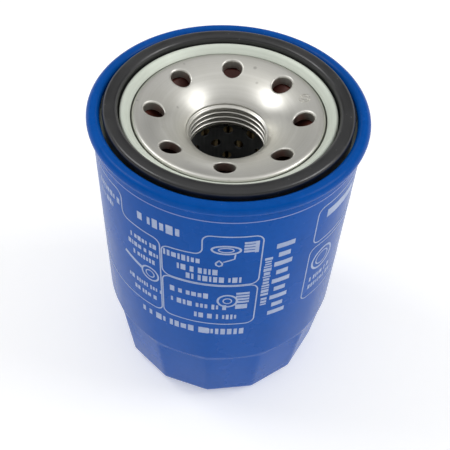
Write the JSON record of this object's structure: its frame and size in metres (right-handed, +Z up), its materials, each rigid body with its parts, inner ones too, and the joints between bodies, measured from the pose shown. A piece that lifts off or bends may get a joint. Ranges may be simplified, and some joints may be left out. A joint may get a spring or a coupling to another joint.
{
  "type": "spin-on oil filter",
  "caption": "Spin-on oil filter: fluted steel can, rubber face gasket, drilled and tapped base plate, pleated element with centre tube, drainback valve and sprung bypass valve.",
  "frame": {"origin": "centre of the resting ring of the closed end, at the bottom of the bounding box", "axes": "+Z up along the filter's axis, from the closed end to the gasket; -Y faces the viewer; +X to the right"},
  "size_m": [0.0658, 0.0658, 0.086],
  "materials": {
    "can_paint": "satin",
    "lid_plating": "satin",
    "plate_steel": "satin",
    "gasket_rubber": "matte",
    "valve_rubber": "matte",
    "element_tinplate": "satin",
    "tube_steel": "matte",
    "bond_adhesive": "matte",
    "filter_paper": "matte",
    "spring_steel": "satin"
  },
  "bodies": {
    "housing": {"can_shell": "can_paint", "seaming_lid": "lid_plating", "base_plate": "plate_steel", "face_gasket": "gasket_rubber", "anti_drainback_valve": "valve_rubber", "element_spring": "spring_steel"},
    "element": {"upper_end_cap": "element_tinplate", "upper_bond_ring": "bond_adhesive", "pleated_media": "filter_paper", "media_seam_clip": "element_tinplate", "centre_tube": "tube_steel", "lower_bond_ring": "bond_adhesive", "lower_end_cap": "element_tinplate", "bypass_cage": "element_tinplate", "bypass_spring": "spring_steel"},
    "bypass_valve": {"bypass_poppet": "element_tinplate", "bypass_seal": "gasket_rubber"}
  },
  "joints": [
    {"name": "element_float", "type": "slide", "parent": "housing", "child": "element", "axis": [0, 0, 1], "range_m": [-0.0025, 0], "stiffness_N_per_m": 5000, "springref_m": 0.004, "deforming": ["element_spring"]},
    {"name": "bypass_open", "type": "slide", "parent": "element", "child": "bypass_valve", "axis": [0, 0, 1], "range_m": [0, 0.003], "stiffness_N_per_m": 2500, "springref_m": -0.005, "deforming": ["bypass_spring"]}
  ]
}
